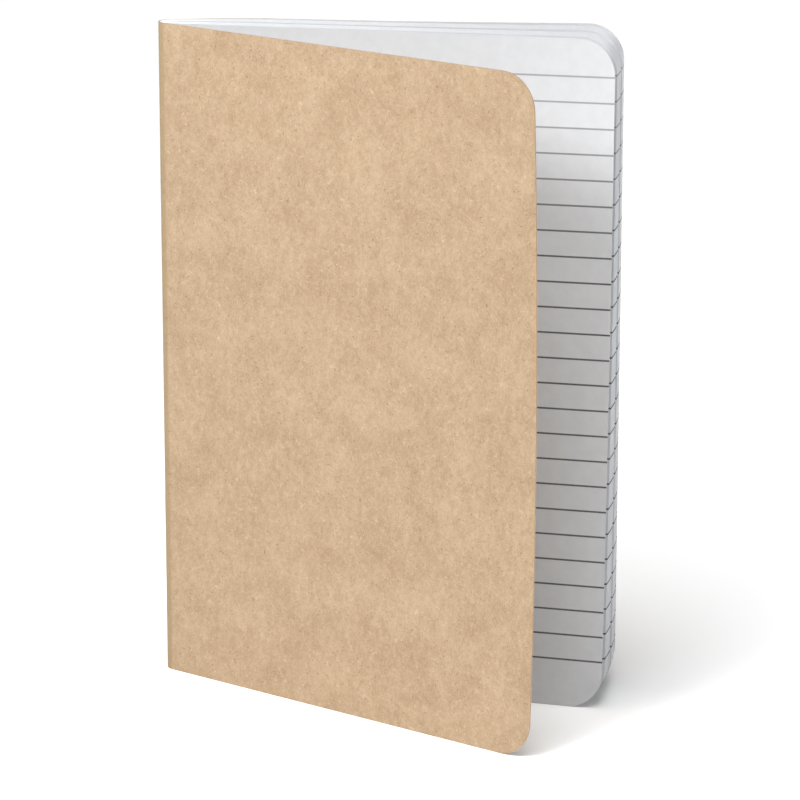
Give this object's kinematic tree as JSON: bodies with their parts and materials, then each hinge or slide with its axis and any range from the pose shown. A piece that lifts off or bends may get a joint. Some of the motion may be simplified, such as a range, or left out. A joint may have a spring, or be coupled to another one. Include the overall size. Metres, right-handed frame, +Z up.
{
  "type": "pocket notebook",
  "caption": "Staple-bound pocket notebook with a soft kraft card cover, ruled leaves and rounded fore-edge corners, standing with its front cover swung open.",
  "frame": {"origin": "on the fold axis of the sheets, at the foot of the spine, on the surface the notebook stands on", "axes": "+Z up the spine from tail to head; +X from the spine to the fore edge along the middle plane of the leaves; the front cover opens towards -Y"},
  "size_m": [0.1028, 0.059, 0.15],
  "materials": {
    "kraft_card": "matt unbleached kraft card with short fibres and specks",
    "ruled_paper": "matt white writing paper with grey printed ruling",
    "staple_wire": "bright zinc-plated wire"
  },
  "bodies": {
    "spine": {"cover_spine": "kraft_card", "fold_01": "ruled_paper", "fold_02": "ruled_paper", "fold_03": "ruled_paper", "fold_04": "ruled_paper", "fold_05": "ruled_paper", "fold_06": "ruled_paper", "fold_07": "ruled_paper", "fold_08": "ruled_paper", "fold_09": "ruled_paper", "fold_10": "ruled_paper", "fold_11": "ruled_paper", "fold_12": "ruled_paper", "fold_13": "ruled_paper", "fold_14": "ruled_paper", "fold_15": "ruled_paper", "fold_16": "ruled_paper", "staple_head": "staple_wire", "staple_tail": "staple_wire"},
    "leaf_01": {"leaf_01": "ruled_paper"},
    "leaf_02": {"leaf_02": "ruled_paper"},
    "leaf_03": {"leaf_03": "ruled_paper"},
    "leaf_04": {"leaf_04": "ruled_paper"},
    "leaf_05": {"leaf_05": "ruled_paper"},
    "leaf_06": {"leaf_06": "ruled_paper"},
    "leaf_07": {"leaf_07": "ruled_paper"},
    "leaf_08": {"leaf_08": "ruled_paper"},
    "leaf_09": {"leaf_09": "ruled_paper"},
    "leaf_10": {"leaf_10": "ruled_paper"},
    "leaf_11": {"leaf_11": "ruled_paper"},
    "leaf_12": {"leaf_12": "ruled_paper"},
    "leaf_13": {"leaf_13": "ruled_paper"},
    "leaf_14": {"leaf_14": "ruled_paper"},
    "leaf_15": {"leaf_15": "ruled_paper"},
    "leaf_16": {"leaf_16": "ruled_paper"},
    "leaf_17": {"leaf_17": "ruled_paper"},
    "leaf_18": {"leaf_18": "ruled_paper"},
    "leaf_19": {"leaf_19": "ruled_paper"},
    "leaf_20": {"leaf_20": "ruled_paper"},
    "leaf_21": {"leaf_21": "ruled_paper"},
    "leaf_22": {"leaf_22": "ruled_paper"},
    "leaf_23": {"leaf_23": "ruled_paper"},
    "leaf_24": {"leaf_24": "ruled_paper"},
    "leaf_25": {"leaf_25": "ruled_paper"},
    "leaf_26": {"leaf_26": "ruled_paper"},
    "leaf_27": {"leaf_27": "ruled_paper"},
    "leaf_28": {"leaf_28": "ruled_paper"},
    "leaf_29": {"leaf_29": "ruled_paper"},
    "leaf_30": {"leaf_30": "ruled_paper"},
    "leaf_31": {"leaf_31": "ruled_paper"},
    "leaf_32": {"leaf_32": "ruled_paper"},
    "cover_front": {"cover_front": "kraft_card"},
    "cover_back": {"cover_back": "kraft_card"}
  },
  "joints": [
    {"name": "leaf_01_turn", "type": "hinge", "parent": "spine", "child": "leaf_01", "pos_m": [0, 0, 0], "axis": [0, 0, -1], "range_deg": [-4.2, 55], "deforming": ["fold_01", "fold_02", "fold_03", "fold_04", "fold_05", "fold_06", "fold_07", "fold_08", "fold_09", "fold_10", "fold_11", "fold_12", "fold_13", "fold_14", "fold_15", "fold_16", "cover_spine"]},
    {"name": "leaf_02_turn", "type": "hinge", "parent": "spine", "child": "leaf_02", "pos_m": [0, 0, 0], "axis": [0, 0, -1], "range_deg": [-2.65, 34.75]},
    {"name": "leaf_03_turn", "type": "hinge", "parent": "spine", "child": "leaf_03", "pos_m": [0, 0, 0], "axis": [0, 0, -1], "range_deg": [-2.51, 32.83]},
    {"name": "leaf_04_turn", "type": "hinge", "parent": "spine", "child": "leaf_04", "pos_m": [0, 0, 0], "axis": [0, 0, -1], "range_deg": [-2.36, 30.9]},
    {"name": "leaf_05_turn", "type": "hinge", "parent": "spine", "child": "leaf_05", "pos_m": [0, 0, 0], "axis": [0, 0, -1], "range_deg": [-2.21, 28.98]},
    {"name": "leaf_06_turn", "type": "hinge", "parent": "spine", "child": "leaf_06", "pos_m": [0, 0, 0], "axis": [0, 0, -1], "range_deg": [-2.07, 27.06]},
    {"name": "leaf_07_turn", "type": "hinge", "parent": "spine", "child": "leaf_07", "pos_m": [0, 0, 0], "axis": [0, 0, -1], "range_deg": [-1.92, 25.14]},
    {"name": "leaf_08_turn", "type": "hinge", "parent": "spine", "child": "leaf_08", "pos_m": [0, 0, 0], "axis": [0, 0, -1], "range_deg": [-1.77, 23.22]},
    {"name": "leaf_09_turn", "type": "hinge", "parent": "spine", "child": "leaf_09", "pos_m": [0, 0, 0], "axis": [0, 0, -1], "range_deg": [-1.63, 21.3]},
    {"name": "leaf_10_turn", "type": "hinge", "parent": "spine", "child": "leaf_10", "pos_m": [0, 0, 0], "axis": [0, 0, -1], "range_deg": [-1.48, 19.38]},
    {"name": "leaf_11_turn", "type": "hinge", "parent": "spine", "child": "leaf_11", "pos_m": [0, 0, 0], "axis": [0, 0, -1], "range_deg": [-1.33, 17.46]},
    {"name": "leaf_12_turn", "type": "hinge", "parent": "spine", "child": "leaf_12", "pos_m": [0, 0, 0], "axis": [0, 0, -1], "range_deg": [-1.19, 15.54]},
    {"name": "leaf_13_turn", "type": "hinge", "parent": "spine", "child": "leaf_13", "pos_m": [0, 0, 0], "axis": [0, 0, -1], "range_deg": [-1.04, 13.62]},
    {"name": "leaf_14_turn", "type": "hinge", "parent": "spine", "child": "leaf_14", "pos_m": [0, 0, 0], "axis": [0, 0, -1], "range_deg": [-0.89, 11.7]},
    {"name": "leaf_15_turn", "type": "hinge", "parent": "spine", "child": "leaf_15", "pos_m": [0, 0, 0], "axis": [0, 0, -1], "range_deg": [-0.75, 9.78]},
    {"name": "leaf_16_turn", "type": "hinge", "parent": "spine", "child": "leaf_16", "pos_m": [0, 0, 0], "axis": [0, 0, -1], "range_deg": [-0.6, 7.86]},
    {"name": "leaf_17_turn", "type": "hinge", "parent": "spine", "child": "leaf_17", "pos_m": [0, 0, 0], "axis": [0, 0, 1], "range_deg": [-0.6, 7.86]},
    {"name": "leaf_18_turn", "type": "hinge", "parent": "spine", "child": "leaf_18", "pos_m": [0, 0, 0], "axis": [0, 0, 1], "range_deg": [-0.75, 9.78]},
    {"name": "leaf_19_turn", "type": "hinge", "parent": "spine", "child": "leaf_19", "pos_m": [0, 0, 0], "axis": [0, 0, 1], "range_deg": [-0.89, 11.7]},
    {"name": "leaf_20_turn", "type": "hinge", "parent": "spine", "child": "leaf_20", "pos_m": [0, 0, 0], "axis": [0, 0, 1], "range_deg": [-1.04, 13.62]},
    {"name": "leaf_21_turn", "type": "hinge", "parent": "spine", "child": "leaf_21", "pos_m": [0, 0, 0], "axis": [0, 0, 1], "range_deg": [-1.19, 15.54]},
    {"name": "leaf_22_turn", "type": "hinge", "parent": "spine", "child": "leaf_22", "pos_m": [0, 0, 0], "axis": [0, 0, 1], "range_deg": [-1.33, 17.46]},
    {"name": "leaf_23_turn", "type": "hinge", "parent": "spine", "child": "leaf_23", "pos_m": [0, 0, 0], "axis": [0, 0, 1], "range_deg": [-1.48, 19.38]},
    {"name": "leaf_24_turn", "type": "hinge", "parent": "spine", "child": "leaf_24", "pos_m": [0, 0, 0], "axis": [0, 0, 1], "range_deg": [-1.63, 21.3]},
    {"name": "leaf_25_turn", "type": "hinge", "parent": "spine", "child": "leaf_25", "pos_m": [0, 0, 0], "axis": [0, 0, 1], "range_deg": [-1.77, 23.22]},
    {"name": "leaf_26_turn", "type": "hinge", "parent": "spine", "child": "leaf_26", "pos_m": [0, 0, 0], "axis": [0, 0, 1], "range_deg": [-1.92, 25.14]},
    {"name": "leaf_27_turn", "type": "hinge", "parent": "spine", "child": "leaf_27", "pos_m": [0, 0, 0], "axis": [0, 0, 1], "range_deg": [-2.07, 27.06]},
    {"name": "leaf_28_turn", "type": "hinge", "parent": "spine", "child": "leaf_28", "pos_m": [0, 0, 0], "axis": [0, 0, 1], "range_deg": [-2.21, 28.98]},
    {"name": "leaf_29_turn", "type": "hinge", "parent": "spine", "child": "leaf_29", "pos_m": [0, 0, 0], "axis": [0, 0, 1], "range_deg": [-2.36, 30.9]},
    {"name": "leaf_30_turn", "type": "hinge", "parent": "spine", "child": "leaf_30", "pos_m": [0, 0, 0], "axis": [0, 0, 1], "range_deg": [-2.51, 32.83]},
    {"name": "leaf_31_turn", "type": "hinge", "parent": "spine", "child": "leaf_31", "pos_m": [0, 0, 0], "axis": [0, 0, 1], "range_deg": [-2.65, 34.75]},
    {"name": "leaf_32_turn", "type": "hinge", "parent": "spine", "child": "leaf_32", "pos_m": [0, 0, 0], "axis": [0, 0, 1], "range_deg": [-4.2, 55]},
    {"name": "cover_front_hinge", "type": "hinge", "parent": "leaf_01", "child": "cover_front", "pos_m": [-0.00018, -0.00252, 0], "axis": [0, 0, -1], "range_deg": [-21.3, 145]},
    {"name": "cover_back_hinge", "type": "hinge", "parent": "leaf_32", "child": "cover_back", "pos_m": [-0.00018, 0.00252, 0], "axis": [0, 0, 1], "range_deg": [0, 60]}
  ],
  "couplings": [
    {"joint": "leaf_02_turn", "follows": "leaf_01_turn", "ratio": 0.63175},
    {"joint": "leaf_03_turn", "follows": "leaf_01_turn", "ratio": 0.59683},
    {"joint": "leaf_04_turn", "follows": "leaf_01_turn", "ratio": 0.5619},
    {"joint": "leaf_05_turn", "follows": "leaf_01_turn", "ratio": 0.52698},
    {"joint": "leaf_06_turn", "follows": "leaf_01_turn", "ratio": 0.49206},
    {"joint": "leaf_07_turn", "follows": "leaf_01_turn", "ratio": 0.45714},
    {"joint": "leaf_08_turn", "follows": "leaf_01_turn", "ratio": 0.42222},
    {"joint": "leaf_09_turn", "follows": "leaf_01_turn", "ratio": 0.3873},
    {"joint": "leaf_10_turn", "follows": "leaf_01_turn", "ratio": 0.35238},
    {"joint": "leaf_11_turn", "follows": "leaf_01_turn", "ratio": 0.31746},
    {"joint": "leaf_12_turn", "follows": "leaf_01_turn", "ratio": 0.28254},
    {"joint": "leaf_13_turn", "follows": "leaf_01_turn", "ratio": 0.24762},
    {"joint": "leaf_14_turn", "follows": "leaf_01_turn", "ratio": 0.2127},
    {"joint": "leaf_15_turn", "follows": "leaf_01_turn", "ratio": 0.17778},
    {"joint": "leaf_16_turn", "follows": "leaf_01_turn", "ratio": 0.14286},
    {"joint": "leaf_17_turn", "follows": "leaf_01_turn", "ratio": 0.14286},
    {"joint": "leaf_18_turn", "follows": "leaf_01_turn", "ratio": 0.17778},
    {"joint": "leaf_19_turn", "follows": "leaf_01_turn", "ratio": 0.2127},
    {"joint": "leaf_20_turn", "follows": "leaf_01_turn", "ratio": 0.24762},
    {"joint": "leaf_21_turn", "follows": "leaf_01_turn", "ratio": 0.28254},
    {"joint": "leaf_22_turn", "follows": "leaf_01_turn", "ratio": 0.31746},
    {"joint": "leaf_23_turn", "follows": "leaf_01_turn", "ratio": 0.35238},
    {"joint": "leaf_24_turn", "follows": "leaf_01_turn", "ratio": 0.3873},
    {"joint": "leaf_25_turn", "follows": "leaf_01_turn", "ratio": 0.42222},
    {"joint": "leaf_26_turn", "follows": "leaf_01_turn", "ratio": 0.45714},
    {"joint": "leaf_27_turn", "follows": "leaf_01_turn", "ratio": 0.49206},
    {"joint": "leaf_28_turn", "follows": "leaf_01_turn", "ratio": 0.52698},
    {"joint": "leaf_29_turn", "follows": "leaf_01_turn", "ratio": 0.5619},
    {"joint": "leaf_30_turn", "follows": "leaf_01_turn", "ratio": 0.59683},
    {"joint": "leaf_31_turn", "follows": "leaf_01_turn", "ratio": 0.63175},
    {"joint": "leaf_32_turn", "follows": "leaf_01_turn", "ratio": 1}
  ]
}
